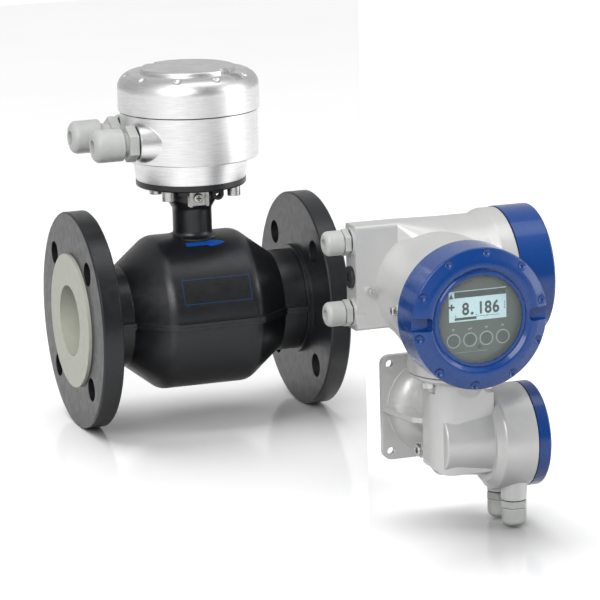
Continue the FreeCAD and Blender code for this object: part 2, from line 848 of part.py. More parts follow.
def terminal_block(name, lengths, at, clamps):
    """A terminal strip with a row of round clamping holes in its top."""
    body = block(name + "_strip", lengths, at)
    holes = []
    for index in range(clamps):
        along = plus(at[0], "(%s) * %.4f" % (lengths[0], (index + 0.5) / clamps))
        spot = (along, plus(at[1], "(%s) / 2" % lengths[1]), plus(at[2], "(%s) - 3" % lengths[2]))
        holes.append(cylinder("%s_clamp_%d" % (name, index), "2", "3", spot))
    node(name, cut(name + "_drilled", body, holes))


# ---------------------------------------------------------------- converter head

SWIVEL = ("swivel_x", "swivel_y", "swivel_z")
HEAD_Z = "swivel_z + head_rise"
DISPLAY_POINT = ("swivel_x + display_x", "swivel_y - boss_reach", "swivel_z + display_rise")
SIDE_POINT = ("swivel_x + head_collar_end", "swivel_y", HEAD_Z)
END_X = "swivel_x - end_reach"
END_MIDDLE = "swivel_z + (end_low + end_high) / 2"
DISPLAY_BORE = "boss_radius - 5"
SIDE_BORE = "head_collar_radius - 5"


def make_wedge():
    """The casting's flat slab end and the loft that widens it in plan to the round barrel."""
    section = rounded_rectangle("end_depth / 2", "end_low", "end_high", "end_rounding")
    slab = pad("head_slab", "YZ_Plane", [section], "end_reach - slab_reach + 1", "-end_reach", SWIVEL)
    body = doc.addObject("PartDesign::Body", "head_wedge")
    small = new_sketch(body, "wedge_end", "YZ_Plane", "-slab_reach")
    large = new_sketch(body, "wedge_root", "YZ_Plane", "-wedge_reach")
    outline(small, section)
    outline(large, rounded_rectangle("barrel_radius", "head_rise - barrel_radius",
                                     "head_rise + barrel_radius", "barrel_radius - 0.5"))
    add_loft(body, "wedge_loft", small, large)
    return [slab, place(body, SWIVEL, Rotation())]


def add_loft(body, name, first, last):
    loft = body.newObject("PartDesign::AdditiveLoft", name)
    loft.Profile = first
    loft.Sections = [last]
    loft.Ruled = True


def circle_sketch(body, name, offset, centre, radius):
    """A circle on a plane parallel to XZ, offset towards -Y."""
    sketch = new_sketch(body, name, "XZ_Plane", offset)
    middle = Vector(value(centre[0]), value(centre[1]), 0)
    circle = sketch.addGeometry(Part.Circle(middle, Vector(0, 0, 1), value(radius)), False)
    bind(sketch, "DistanceX", circle, 3, centre[0])
    bind(sketch, "DistanceY", circle, 3, centre[1])
    row = sketch.addConstraint(Sketcher.Constraint("Radius", circle, value(radius)))
    sketch.setExpression("Constraints[%d]" % row, bound(radius))
    return sketch


def make_display_boss():
    """The boss runs from its round root on the slab, obliquely down to the display's seat."""
    body = doc.addObject("PartDesign::Body", "display_boss")
    root = ("boss_root_x", "boss_root_rise")
    back = circle_sketch(body, "boss_back", "0", root, "boss_root_radius")
    feature = body.newObject("PartDesign::Pad", "boss_back_pad")
    feature.Profile = back
    feature.setExpression("Length", bound("boss_root_reach + 1"))
    first = circle_sketch(body, "boss_root", "boss_root_reach", root, "boss_root_radius")
    last = circle_sketch(body, "boss_seat", "boss_reach", ("display_x", "display_rise"), "boss_radius")
    add_loft(body, "boss_loft", first, last)
    return place(body, SWIVEL, Rotation())


def rounded_rectangle(half, low, high, rounding):
    return [
        (minus(half), low, rounding),
        (half, low, rounding),
        (half, high, rounding),
        (minus(half), high, rounding),
    ]


def make_head_housing():
    """The cast head: wedge, barrel, side collar, display boss, neck stub and cable entries."""
    barrel = cylinder("head_barrel", "barrel_radius", "wedge_reach + head_collar_start + 2",
                      ("swivel_x - wedge_reach", "swivel_y", HEAD_Z), "+X")
    collar = turned("head_collar", [
        ("head_collar_start", "0"),
        ("head_collar_start", "barrel_radius"),
        ("head_collar_start + 7", "head_collar_radius", "6"),
        ("head_collar_end", "head_collar_radius"),
        ("head_collar_end", "0"),
    ], ("swivel_x", "swivel_y", HEAD_Z), "+X")
    stub = turned("head_stub", [
        ("seat_gap", "0"),
        ("seat_gap", "stub_radius - 0.5"),
        ("seat_gap + 0.5", "stub_radius"),
        ("display_rise - 12", "stub_radius - 1.5"),
        ("display_rise - 12", "0"),
    ], SWIVEL, "+Z")
    seats = []
    for index, spot in enumerate(head_entries()):
        seats.append(cylinder("head_seat_%d" % index, "head_gland_radius + 1.2", "8", spot, "+X"))
    ground_boss = cylinder("ground_boss", "2.6", "16", ahead(HEAD_GROUND, "+Y", "2"), "+Y")
    knob_boss = cylinder("knob_boss", "4", "14", ahead(DISPLAY_KNOB, "+X", "1"), "+X")
    bosses = [make_display_boss(), ground_boss, knob_boss] + seats
    solid = fuse("head_solid", make_wedge() + [barrel, collar, stub] + bosses)
    node("head_housing", cut("head_machined", solid, head_cavities()))


def head_entries():
    """The three cable entries, from the lowest up, on the outer face of their seats."""
    spots = []
    for step in (-1, 0, 1):
        reach = "swivel_x - end_reach - %s" % ("0" if step == 0 else "seat_height")
        spots.append((reach, "swivel_y", plus(END_MIDDLE, "%d * head_entry_pitch" % step)))
    return spots


HEAD_GROUND = ("swivel_x - end_reach + 9", "swivel_y - end_depth / 2 - 6", "swivel_z + head_rise - 2")
DISPLAY_KNOB = ("swivel_x + display_x - boss_radius - 1.5", "swivel_y - boss_reach + 6",
                "swivel_z + display_rise + 3.5")


def head_cavities():
    """The display and terminal rooms, the way of the side cover, the cable way and the entries."""
    depth = "electronics_depth + seat_gap"
    display_room = cylinder("display_room", DISPLAY_BORE, depth, ahead(DISPLAY_POINT, "+Y", depth), "-Y")
    terminal_room = cylinder("terminal_room", SIDE_BORE, "46", ahead(SIDE_POINT, "-X", "46"), "+X")
    cable_way = cylinder("head_cable_way", "16", "head_rise", SWIVEL, "+Z")
    cover_way = cylinder("side_cover_way", "side_cover_radius + 1.5", "barrel_radius", SIDE_POINT, "+X")
    tools = [display_room, terminal_room, cable_way, cover_way]
    for index, spot in enumerate(head_entries()):
        tools.append(cylinder("head_entry_%d" % index, "head_gland_radius * 0.72 + 0.1", "end_reach - wedge_reach + 6",
                              spot, "+X"))
    tools.append(cylinder("ground_thread", "1.3", "8", HEAD_GROUND, "+Y"))
    tools.append(cylinder("knob_thread", "2.2", "8", DISPLAY_KNOB, "+X"))
    return tools


def make_display_cover():
    """The blue cover with its window opening, rounded bead, wrench dents and two slots."""
    corners = [
        ("-skirt_length", plus(DISPLAY_BORE, "-skirt_play", "-3")),
        ("-skirt_length", plus(DISPLAY_BORE, "-skirt_play")),
        ("seal_thick + 0.1", plus(DISPLAY_BORE, "-skirt_play")),
        ("seal_thick + 0.1", "display_cover_radius"),
        ("display_cover_height", "display_cover_radius", "cover_edge"),
        ("display_cover_height + cover_dome", "window_radius + window_land", "14"),
        ("display_cover_height + cover_dome", "window_radius + 6", "2"),
        ("display_cover_height + 0.9", "window_radius + 3"),
        ("display_cover_height + 1.7", "window_radius + 1.8", "0.5"),
        ("display_cover_height + 1.7", "window_radius"),
        ("display_cover_height - window_sink", "window_radius"),
        ("display_cover_height - window_sink", "window_radius + 3.5"),
        ("display_cover_height - window_sink - window_thick - 1", "window_radius + 3.5"),
        ("display_cover_height - window_sink - window_thick - 1", plus(DISPLAY_BORE, "-skirt_play", "-3")),
    ]
    cover = turned("display_cover_body", corners, DISPLAY_POINT, "-Y")
    tools = dimples("display", "display_cover_radius - 3", "display_cover_height + 3.4", "Y", DISPLAY_POINT, 12)
    slot_floor = ahead(DISPLAY_POINT, "-Y", "display_cover_height - slot_depth")
    for index, sign in enumerate(("", "-")):
        ends = [sign + "(window_radius + 5)", sign + "(display_cover_radius + 6)"]
        tools.append(pad("display_slot_%d" % index, "XZ_Plane", [[
            (ends[0], "-slot_width / 2", "2.5"),
            (ends[1], "-slot_width / 2"),
            (ends[1], "slot_width / 2"),
            (ends[0], "slot_width / 2", "2.5"),
        ]], "slot_depth + cover_dome + 1", "0", slot_floor))
    node("display_cover", cut("display_cover_finished", cover, tools))
    seal_ring("display_cover_seal", "boss_radius", DISPLAY_BORE, DISPLAY_POINT, "-Y")
    window_at = ahead(DISPLAY_POINT, "-Y", "display_cover_height - window_sink - window_thick - 0.05")
    node("display_window", cylinder("display_window", "window_radius + 3.4", "window_thick", window_at, "-Y"))


FACE_FRONT = "display_cover_height - window_sink - window_thick - 0.8"


def make_display_unit():
    """The faceplate with its display and key openings, and what sits in and behind it."""
    plate_at = ahead(DISPLAY_POINT, "-Y", plus(FACE_FRONT, "-faceplate_thick"))
    plate = cylinder("faceplate_disc", "window_radius + 3", "faceplate_thick", plate_at, "-Y")
    lcd_low = (
        plus(DISPLAY_POINT[0], "-lcd_width / 2"),
        plus(DISPLAY_POINT[1], minus(FACE_FRONT), "0.3"),
        plus(DISPLAY_POINT[2], "lcd_rise - lcd_height / 2"),
    )
    opening = block("lcd_opening", ("lcd_width", "faceplate_thick * 2", "lcd_height"), ahead(lcd_low, "-Y", "1"))
    keys = []
    key_holes = []
    for index in range(4):
        centre = (
            plus(DISPLAY_POINT[0], "%.1f * key_pitch" % (index - 1.5)),
            plate_at[1],
            plus(DISPLAY_POINT[2], "-key_drop"),
        )
        key_holes.append(cylinder("key_hole_%d" % index, "key_radius", "faceplate_thick", centre, "-Y"))
        keys.append(cylinder("key_%d" % index, "key_radius - 0.1", plus("faceplate_thick", "-0.2"), centre, "-Y"))
    node("display_faceplate", cut("faceplate_cut", plate, [opening] + key_holes))
    node("optical_keys", fuse("optical_key_group", keys))
    glass = block("lcd_glass", ("lcd_width - 0.2", "3", "lcd_height - 0.2"), ahead(lcd_low, "+X", "0.1"))
    node("display_lcd", glass)
    electronics_at = ahead(DISPLAY_POINT, "+Y", "electronics_depth")
    length = plus(FACE_FRONT, "-faceplate_thick", "electronics_depth", "-0.2")
    board = cylinder("display_electronics_can", "window_radius + 6", length, electronics_at, "-Y")
    pocket = block("lcd_pocket", ("lcd_width + 1", "8", "lcd_height + 1"), (
        plus(lcd_low[0], "-0.5"),
        plus(lcd_low[1], "0"),
        plus(lcd_low[2], "-0.5"),
    ))
    node("display_electronics", cut("display_electronics_cut", board, [pocket]))


def make_side_cover():
    corners = cover_profile("side_cover_radius", "side_cover_height", "1", SIDE_BORE)
    corners = shouldered(corners, "side_cover_radius", "side_cover_height")
    cover = turned("side_cover_body", corners, SIDE_POINT, "+X")
    tools = dimples("side", "side_cover_radius - 3", "side_cover_height + 3.4", "X", SIDE_POINT, 30)
    node("side_cover", cut("side_cover_finished", cover, tools))
    seal_ring("side_cover_seal", "head_collar_radius", SIDE_BORE, SIDE_POINT, "+X")


def make_head_fittings():
    lowest, middle, highest = head_entries()
    gland_seals("head_gland_seals", "head_gland_radius", [highest, lowest], "-X")
    make_gland("upper_head_gland", HEAD_GLAND, highest, "-X")
    make_gland("lower_head_gland", HEAD_GLAND, lowest, "-X")
    plug = turned("plug_body", [
        ("-8", "0"),
        ("-8", "head_gland_radius * 0.7"),
        ("0", "head_gland_radius * 0.7"),
        ("0", "head_gland_radius * 0.9"),
        ("2.5", "head_gland_radius * 0.9", "0.8"),
        ("2.5", "0"),
    ], ahead(middle, "-X", "0"), "-X")
    slot = hexagon("plug_socket", "3", "2", ahead(middle, "-X", "1"), "-X")
    node("head_blanking_plug", cut("plug_finished", plug, [slot]))
    node("head_ground_screw", small_screw("head_ground_screw", HEAD_GROUND, "-Y", "2.2", "1.2"))
    node("cover_lock_screw", small_screw("cover_lock_screw", DISPLAY_KNOB, "-X", "3.2", "2.1"))


def small_screw(name, at, direction, head, shank):
    """A cap screw whose head stands on the face at the point at."""
    solid = turned(name + "_solid", [
        ("-3", "0"),
        ("-3", shank),
        ("2", shank),
        ("2", head),
        ("4.5", head, "0.6"),
        ("4.5", "0"),
    ], ahead(at, direction, "-2"), direction)
    socket = hexagon(name + "_socket", "(%s) * 0.45" % head, "2", ahead(at, direction, "1"), direction)
    return cut(name + "_finished", solid, [socket])


# ---------------------------------------------------------------- converter base

BASE_Z = "swivel_z - base_drop"
BASE_POINT = ("swivel_x + base_collar_end", "swivel_y", BASE_Z)
BASE_BORE = "base_collar_radius - 5"


def base_entries():
    low = "swivel_z - base_entry_end"
    return [("swivel_x + base_entry_x", "swivel_y - base_entry_y", low),
            ("swivel_x + base_entry_x", "swivel_y + base_entry_y", low)]


BASE_PLUG = ("swivel_x - neck_drop + 2.4", "swivel_y + 18", "swivel_z - 63.5")


def swivel_screw_places(height):
    centre = ("swivel_x", "swivel_y", plus("swivel_z", height))
    return circle_places("swivel_screw_circle", 4, 20, "Z", centre)


def make_base_housing():
    """The cast base: column, barrel and collar, wall plate with its arm and webs."""
    neck = turned("base_neck", [
        ("0", "0"),
        ("0", "stub_radius - 3"),
        ("-0.6", "stub_radius - 0.6"),
        ("-2.5", "stub_radius - 0.6"),
        ("-5", "stub_radius - 4", "2"),
        ("-8", "column_half + 4", "2"),
        ("-shoulder_drop - 3", "column_half"),
        ("-shoulder_drop - 3", "0"),
    ], SWIVEL, "+Z")
    plan = pad("column_plan", "XY_Plane", [[
        ("-neck_drop", "-column_half", "column_rounding"),
        ("base_collar_start + 2", "-column_half"),
        ("base_collar_start + 2", "column_half"),
        ("-neck_drop", "column_half", "column_rounding"),
    ]], "column_depth", "-column_depth", SWIVEL)
    side = pad("column_side", "XZ_Plane", [[
        ("-neck_drop", "-column_depth", "10"),
        ("base_collar_start + 2", "-column_depth"),
        ("base_collar_start + 2", "-shoulder_drop"),
        ("column_half - 8", "-shoulder_drop", "4"),
        ("column_half - 17", "-swivel_screw_drop"),
        ("-neck_drop", "-swivel_screw_drop"),
    ]], "2 * column_half + 2", "-column_half - 1", SWIVEL)
    column = common("base_column", plan, side)
    barrel = turned("base_barrel", [
        ("-neck_drop + 7", "0"),
        ("-neck_drop + 7", "base_barrel_radius", "2"),
        ("base_collar_start + 2", "base_barrel_radius + base_barrel_draft"),
        ("base_collar_start + 2", "0"),
    ], ("swivel_x", "swivel_y", plus(BASE_Z, "base_barrel_lift")), "+X")
    collar = turned("base_collar", [
        ("base_collar_start", "0"),
        ("base_collar_start", "base_collar_radius - 7"),
        ("base_collar_start + 5", "base_collar_radius", "3"),
        ("base_collar_end", "base_collar_radius"),
        ("base_collar_end", "0"),
    ], ("swivel_x", "swivel_y", BASE_Z), "+X")
    bosses = []
    for index, spot in enumerate(base_entries()):
        bosses.append(cone("base_boss_%d" % index, "base_entry_radius", "base_entry_radius + 1.5",
                           "base_entry_end - base_drop - 22", spot))
    plug_boss = cylinder("base_plug_boss", "6", "30", BASE_PLUG, "+X")
    arm = turned("base_arm", [
        ("0", "0"),
        ("0", "arm_radius + arm_flare"),
        ("1", "arm_radius + arm_flare"),
        ("1", "arm_radius", "arm_flare - 1"),
        ("plate_back - plate_thick", "arm_radius"),
        ("plate_back - plate_thick", "0"),
    ], ("swivel_x", "swivel_y + plate_back - plate_thick", "swivel_z - plate_drop"), "-Y")
    parts = [neck, column, barrel, collar, plug_boss, arm, make_wall_plate(), make_level_web()] + bosses
    node("base_housing", cut("base_machined", fuse("base_solid", parts), base_cavities()))


def make_wall_plate():
    edge = rounded_rectangle("plate_half", "-plate_half", "plate_half", "plate_rounding")
    plate = pad("wall_plate", "XZ_Plane", [edge], "plate_thick", "0",
                ("swivel_x", "swivel_y + plate_back", "swivel_z - plate_drop"))
    holes = []
    for index, (sx, sz) in enumerate(((-1, -1), (1, -1), (1, 1), (-1, 1))):
        spot = (
            plus("swivel_x", "%d * plate_pitch / 2" % sx),
            "swivel_y + plate_back - plate_thick - 1",
            plus("swivel_z - plate_drop", "%d * plate_pitch / 2" % sz),
        )
        holes.append(cylinder("plate_hole_%d" % index, "plate_hole / 2", "plate_thick + 2", spot, "+Y"))
    return cut("wall_plate_drilled", plate, holes)


def make_level_web():
    """The level web that stiffens the plate out to its side edges."""
    front = "plate_back - plate_thick"
    edge = plus(front, "-2")
    return pad("level_web", "XY_Plane", [[
        ("-plate_half", front),
        ("-plate_half", edge),
        ("-neck_drop - 5", "14"),
        ("-neck_drop + 6", "4"),
        ("neck_drop - 6", "4"),
        ("neck_drop + 5", "14"),
        ("plate_half", edge),
        ("plate_half", front),
    ]], "4", "-2", ("swivel_x", "swivel_y", "swivel_z - plate_drop"))


def base_cavities():
    """The terminal room, the cable way up, the gland entries and the screw threads."""
    room = cylinder("base_room", BASE_BORE, "20", ahead(BASE_POINT, "-X", "20"), "+X")
    passage = cylinder("base_passage", "column_half - 4", "base_collar_end", ("swivel_x", "swivel_y", BASE_Z), "+X")
    cover_way = cylinder("base_cover_way", "base_collar_radius + 0.5", "base_collar_end", BASE_POINT, "+X")
    cable_way = cylinder("base_cable_way", "16", "base_drop", ("swivel_x", "swivel_y", BASE_Z))
    tools = [room, passage, cover_way, cable_way]
    for index, spot in enumerate(base_entries()):
        tools.append(cylinder("base_entry_%d" % index, "base_gland_radius * 0.72 + 0.1",
                              "base_entry_end - base_drop", spot))
    tools.append(cylinder("base_plug_thread", "3.5", "14", BASE_PLUG, "+X"))
    for index, spot in enumerate(swivel_screw_places("-swivel_screw_drop")):
        tools.append(cylinder("swivel_hole_%d" % index, "2.2", "swivel_screw_drop", spot))
        tools.append(cylinder("swivel_pocket_%d" % index, "4.8", "9", ahead(spot, "-Z", "9")))
    return tools


def make_base_fittings():
    corners = cover_profile("base_collar_radius", "base_cover_height", "1", BASE_BORE)
    corners = shouldered(corners, "base_collar_radius", "base_cover_height")
    cover = turned("base_cover_body", corners, BASE_POINT, "+X")
    tools = dimples("base", "base_collar_radius - 3", "base_cover_height + 3.4", "X", BASE_POINT, 30)
    node("base_cover", cut("base_cover_finished", cover, tools))
    seal_ring("base_cover_seal", "base_collar_radius - 0.5", BASE_BORE, BASE_POINT, "+X")
    spots = base_entries()
    gland_seals("base_gland_seals", "base_gland_radius", spots, "-Z")
    make_gland("front_base_gland", BASE_GLAND, spots[0], "-Z")
    make_gland("rear_base_gland", BASE_GLAND, spots[1], "-Z")
    plug = turned("base_plug_body", [
        ("-10", "0"),
        ("-10", "3.4"),
        ("0", "3.4"),
        ("0", "4.8"),
        ("3", "4.8", "0.5"),
        ("3", "0"),
    ], BASE_PLUG, "-X")
    socket = hexagon("base_plug_socket", "2.2", "2.5", ahead(BASE_PLUG, "-X", "0.5"), "-X")
    node("base_plug_screw", cut("base_plug_finished", plug, [socket]))
    seal = turned("swivel_seal", [
        ("0", "17"),
        ("0", "stub_radius - 4"),
        ("seat_gap - 0.05", "stub_radius - 4"),
        ("seat_gap - 0.05", "17"),
    ], SWIVEL, "+Z")
    node("swivel_seal", seal)
    screws = []
    for index, spot in enumerate(swivel_screw_places("-swivel_screw_drop")):
        head = hexagon("swivel_screw_head_%d" % index, "3.8", "4.2", ahead(spot, "-Z", "4.2"), "+Z")
        shank = cylinder("swivel_screw_shank_%d" % index, "2", "swivel_screw_drop - 1", spot)
        screws.append(fuse("swivel_screw_%d" % index, [head, shank]))
    node("swivel_screws", fuse("swivel_screw_group", screws))


# ---------------------------------------------------------------- whole instrument

def make_all():
    make_tube()
    make_liner()
    make_flange("inlet_flange", "-X")
    make_flange("outlet_flange", "+X")
    make_electrode("front_electrode", "-Y")
    make_electrode("rear_electrode", "+Y")
    make_pole_shoe("upper_pole_shoe", "+Z")
    make_pole_shoe("lower_pole_shoe", "-Z")
    make_coil("upper_field_coil", "+Z")
    make_coil("lower_field_coil", "-Z")
    make_half_shell("upper_half_shell", Rotation(Vector(1, 0, 1), 180), True)
    make_half_shell("lower_half_shell", TURNS["+X"], False)
    make_neck()
    make_mounting_ring()
    make_ground_clamp()
    make_connection_box()
    make_box_lid()
    terminal_block("box_terminal_block", ("16", "50", "12"), ("6", "-25", plus(RING_TOP, "6")), 1)
    gland_seals("box_gland_seals", "box_gland_radius", box_entries(), "-X")
    make_gland("front_box_gland", BOX_GLAND, box_entries()[0], "-X")
    make_gland("rear_box_gland", REAR_BOX_GLAND, box_entries()[1], "-X")
    make_head_housing()
    make_display_cover()
    make_display_unit()
    make_side_cover()
    make_head_fittings()
    make_base_housing()
    make_base_fittings()
    terminal_block("head_terminal_block", ("12", "50", "20"),
                   ("swivel_x + head_collar_end - 45.7", "swivel_y - 25", "swivel_z + head_rise - 24"), 1)
    low = plus(BASE_Z, "-column_half + 7.6")
    terminal_block("base_terminal_block", ("14", "20", "10"), ("swivel_x + 8", "swivel_y - 10", low), 1)


def check_document():
    """Stop if anything in the document failed to build."""
    failed = [item.Label for item in doc.Objects if {"Invalid", "Error"} & set(item.State)]
    broken = [item.Label for item in nodes if item.Shape.isNull() or not item.Shape.isValid()]
    hollow = [item.Label for item in nodes if not item.Shape.isNull() and not item.Shape.Solids]
    if failed or broken or hollow:
        raise RuntimeError("failed %s, not valid %s, no solid %s" % (failed, broken, hollow))


make_all()
doc.recompute()
check_document()
os.makedirs("parts", exist_ok=True)
for item in nodes:
    item.Shape.exportStep("parts/%s.step" % item.Label)
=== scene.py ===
import json
import math

import bpy
from mathutils import Matrix, Vector


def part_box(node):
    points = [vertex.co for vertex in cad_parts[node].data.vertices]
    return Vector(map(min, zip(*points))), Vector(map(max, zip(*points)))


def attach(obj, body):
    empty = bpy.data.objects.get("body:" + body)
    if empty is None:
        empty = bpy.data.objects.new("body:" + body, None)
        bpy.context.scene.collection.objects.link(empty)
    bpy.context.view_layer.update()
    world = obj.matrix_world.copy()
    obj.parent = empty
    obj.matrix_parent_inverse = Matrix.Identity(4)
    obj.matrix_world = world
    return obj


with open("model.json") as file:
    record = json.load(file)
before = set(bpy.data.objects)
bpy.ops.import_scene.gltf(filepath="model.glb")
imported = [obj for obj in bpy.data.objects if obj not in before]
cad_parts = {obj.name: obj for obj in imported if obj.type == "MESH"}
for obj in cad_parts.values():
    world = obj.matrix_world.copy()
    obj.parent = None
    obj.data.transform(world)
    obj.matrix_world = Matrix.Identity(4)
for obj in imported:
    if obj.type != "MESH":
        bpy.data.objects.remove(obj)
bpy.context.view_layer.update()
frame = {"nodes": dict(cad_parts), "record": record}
NODES = frame["nodes"]
MM = 0.001
BEVEL_SAMPLES = 4


# ---------------------------------------------------------------- node material kit

class Look:
    """One procedural material: a Principled shader and the nodes that feed it."""

    def __init__(self, name):
        self.material = bpy.data.materials.new(name)
        self.material.use_nodes = True
        self.tree = self.material.node_tree
        self.shader = self.tree.nodes["Principled BSDF"]
        self.coords = self.add("ShaderNodeTexCoord").outputs["Object"]
        self.height = None

    def add(self, kind, **settings):
        node = self.tree.nodes.new(kind)
        for key, value in settings.items():
            setattr(node, key, value)
        return node

    def link(self, source, target):
        self.tree.links.new(source, target)

    def set(self, **sockets):
        for key, value in sockets.items():
            self.shader.inputs[key.replace("_", " ")].default_value = value

    def noise(self, scale, detail=3.0, roughness=0.55, stretch=None):
        """Noise at a scale in repeats per metre, stretched along an axis if asked."""
        node = self.add("ShaderNodeTexNoise")
        node.inputs["Scale"].default_value = scale
        node.inputs["Detail"].default_value = detail
        node.inputs["Roughness"].default_value = roughness
        source = self.coords
        if stretch:
            mapping = self.add("ShaderNodeMapping")
            mapping.inputs["Scale"].default_value = stretch
            self.link(source, mapping.inputs["Vector"])
            source = mapping.outputs["Vector"]
        self.link(source, node.inputs["Vector"])
        return node.outputs["Fac"]

    def ramp(self, source, stops):
        """Colours or values along a source from 0 to 1."""
        node = self.add("ShaderNodeValToRGB")
        elements = node.color_ramp.elements
        while len(elements) < len(stops):
            elements.new(0.5)
        for element, (place, color) in zip(elements, stops):
            element.position = place
            element.color = color if len(color) == 4 else (*color, 1.0)
        self.link(source, node.inputs["Fac"])
        return node.outputs["Color"]

    def span(self, source, low, high, start=0.3, stop=0.7):
        node = self.add("ShaderNodeMapRange")
        for key, value in (("From Min", start), ("From Max", stop), ("To Min", low), ("To Max", high)):
            node.inputs[key].default_value = value
        self.link(source, node.inputs["Value"])
        return node.outputs["Result"]

    def color(self, source, low, high, start=0.3, stop=0.7):
        self.link(self.ramp(source, [(start, low), (stop, high)]), self.shader.inputs["Base Color"])

    def rough(self, source, low, high):
        self.link(self.span(source, low, high), self.shader.inputs["Roughness"])

    def bump(self, source, distance, strength=1.0):
        """Stack one more layer of relief, distance in metres."""
        node = self.add("ShaderNodeBump")
        node.inputs["Strength"].default_value = strength
        node.inputs["Distance"].default_value = distance
        self.link(source, node.inputs["Height"])
        if self.height is not None:
            self.link(self.height, node.inputs["Normal"])
        self.height = node.outputs["Normal"]
        self.link(self.height, self.shader.inputs["Normal"])

    def soften(self, radius):
        """Round the shading of every edge by a radius in metres."""
        node = self.add("ShaderNodeBevel", samples=BEVEL_SAMPLES)
        node.inputs["Radius"].default_value = radius
        self.height = node.outputs["Normal"]
        self.link(self.height, self.shader.inputs["Normal"])


def tint(color, factor):
    return tuple(min(1.0, part * factor) for part in color)


def coated(name, color, rough, metallic=0.0, coat=0.0, edge=0.0006, grain=0.00002, peel=0.00006, vary=0.06,
           shine=0.5):
    """A painted or powder-coated surface: uneven tone, fine grain and a slow orange peel."""
    look = Look(name)
    look.set(Metallic=metallic, Coat_Weight=coat, Coat_Roughness=0.08, Specular_IOR_Level=shine)
    look.soften(edge)
    slow = look.noise(38.0, 4.0)
    look.color(slow, tint(color, 1 - vary), tint(color, 1 + vary))
    look.rough(look.noise(160.0, 3.0), rough - 0.05, rough + 0.06)
    look.bump(look.noise(420.0, 2.0), peel)
    look.bump(look.noise(2600.0, 2.0), grain)
    return look.material


def cast_metal(name, color, rough_low, rough_high, grain):
    """Blasted die-cast aluminium: a sparkling grain and faint turning marks round Z."""
    look = Look(name)
    look.set(Metallic=1.0)
    look.soften(0.0006)
    marks = look.noise(1300.0, 3.0, 0.6, stretch=(0.06, 0.06, 1.0))
    look.color(marks, tint(color, 0.88), tint(color, 1.06))
    look.rough(look.noise(1100.0, 4.0, 0.7), rough_low, rough_high)
    look.bump(look.noise(120.0, 3.0), 0.00005)
    look.bump(marks, 0.00003)
    look.bump(look.noise(1700.0, 3.0, 0.7), grain)
    return look.material


def turned_metal(name, color, rough, stretch):
    look = Look(name)
    look.set(Metallic=1.0, Anisotropic=0.3)
    look.soften(0.0003)
    look.color(look.noise(300.0, 4.0, stretch=stretch), tint(color, 0.8), tint(color, 1.1))
    look.rough(look.noise(700.0, 4.0, stretch=stretch), rough - 0.08, rough + 0.1)
    look.bump(look.noise(2400.0, 2.0, stretch=stretch), 0.00002)
    return look.material


def moulded(name, color, rough, vary=0.05, subsurface=0.0, grain=0.00002):
    look = Look(name)
    look.set(Subsurface_Weight=subsurface, Subsurface_Radius=(0.004, 0.004, 0.003))
    look.soften(0.0004)
    look.color(look.noise(120.0, 4.0), tint(color, 1 - vary), tint(color, 1 + vary))
    look.rough(look.noise(500.0, 3.0), rough - 0.05, rough + 0.07)
    look.bump(look.noise(1800.0, 3.0), grain)
    return look.material


def glowing(name, color, rough, strength):
    look = Look(name)
    look.set(Emission_Color=(*color, 1.0), Emission_Strength=strength)
    look.color(look.noise(900.0, 2.0), tint(color, 0.93), tint(color, 1.03))
    look.rough(look.noise(500.0, 2.0), rough, rough + 0.05)
    return look.material


def clear_glass(name):
    look = Look(name)
    look.set(Alpha=0.06, Specular_IOR_Level=0.5)
    look.color(look.noise(60.0, 2.0), (0.80, 0.86, 0.82), (0.88, 0.92, 0.89))
    look.rough(look.noise(200.0, 2.0), 0.03, 0.06)
    return look.material


BLACK = coated("black_satin", (0.0080, 0.0088, 0.0108), 0.33, edge=0.0009, peel=0.00003, vary=0.08)
LINER = moulded("liner_rubber", (0.47, 0.48, 0.41), 0.42, vary=0.04, subsurface=0.05)
CAST = cast_metal("cast_aluminium", (0.74, 0.74, 0.74), 0.26, 0.42, 0.00005)
STEEL = turned_metal("turned_steel", (0.55, 0.55, 0.53), 0.3, (1.0, 1.0, 6.0))
GREY = coated("grey_powder_coat", (0.585, 0.585, 0.58), 0.34, metallic=0.3, coat=0.2, vary=0.025)
BLUE = coated("blue_gloss_coat", (0.0015, 0.048, 0.235), 0.25, coat=0.5, edge=0.0008, grain=0.00001,
              peel=0.00002, vary=0.04, shine=0.25)
NYLON = moulded("light_nylon", (0.50, 0.51, 0.495), 0.38, subsurface=0.08)
# Black rubber for the seals; the same look also paints the shade in the ground screw's cross recess.
RUBBER_AND_SHADE = moulded("black_rubber_and_shade", (0.012, 0.012, 0.013), 0.62)
PLUG = moulded("black_plug", (0.016, 0.016, 0.018), 0.45)
COPPER = turned_metal("copper_winding", (0.62, 0.28, 0.13), 0.35, (1.0, 1.0, 40.0))
IRON = cast_metal("magnet_iron", (0.30, 0.30, 0.30), 0.40, 0.60, 0.00003)
FACEPLATE = moulded("faceplate_film", (0.062, 0.088, 0.078), 0.34)
LCD = glowing("lcd_backlight", (0.46, 0.64, 0.68), 0.25, 0.30)
LENS = moulded("key_lens", (0.045, 0.062, 0.058), 0.2)
TERMINAL = moulded("terminal_plastic", (0.05, 0.16, 0.08), 0.4)
GLASS = clear_glass("window_glass")
INK = moulded("display_ink", (0.006, 0.018, 0.022), 0.35)
PRINT = moulded("pale_print", (0.30, 0.38, 0.37), 0.35)
ARROW = moulded("blue_print", (0.0020, 0.072, 0.36), 0.35)
FAINT = moulded("faint_blue_print", (0.0040, 0.030, 0.085), 0.35)

SLOT_LOOKS = {
    "black_paint": BLACK,
    "liner": LINER,
    "steel": STEEL,
    "magnet_iron": IRON,
    "coil_winding": COPPER,
    "cast_aluminium": CAST,
    "nylon": NYLON,
    "rubber": RUBBER_AND_SHADE,
    "plug_plastic": PLUG,
    "grey_coat": GREY,
    "blue_coat": BLUE,
    "window_glass": GLASS,
    "faceplate": FACEPLATE,
    "lcd": LCD,
    "key_lens": LENS,
    "terminal_plastic": TERMINAL,
}


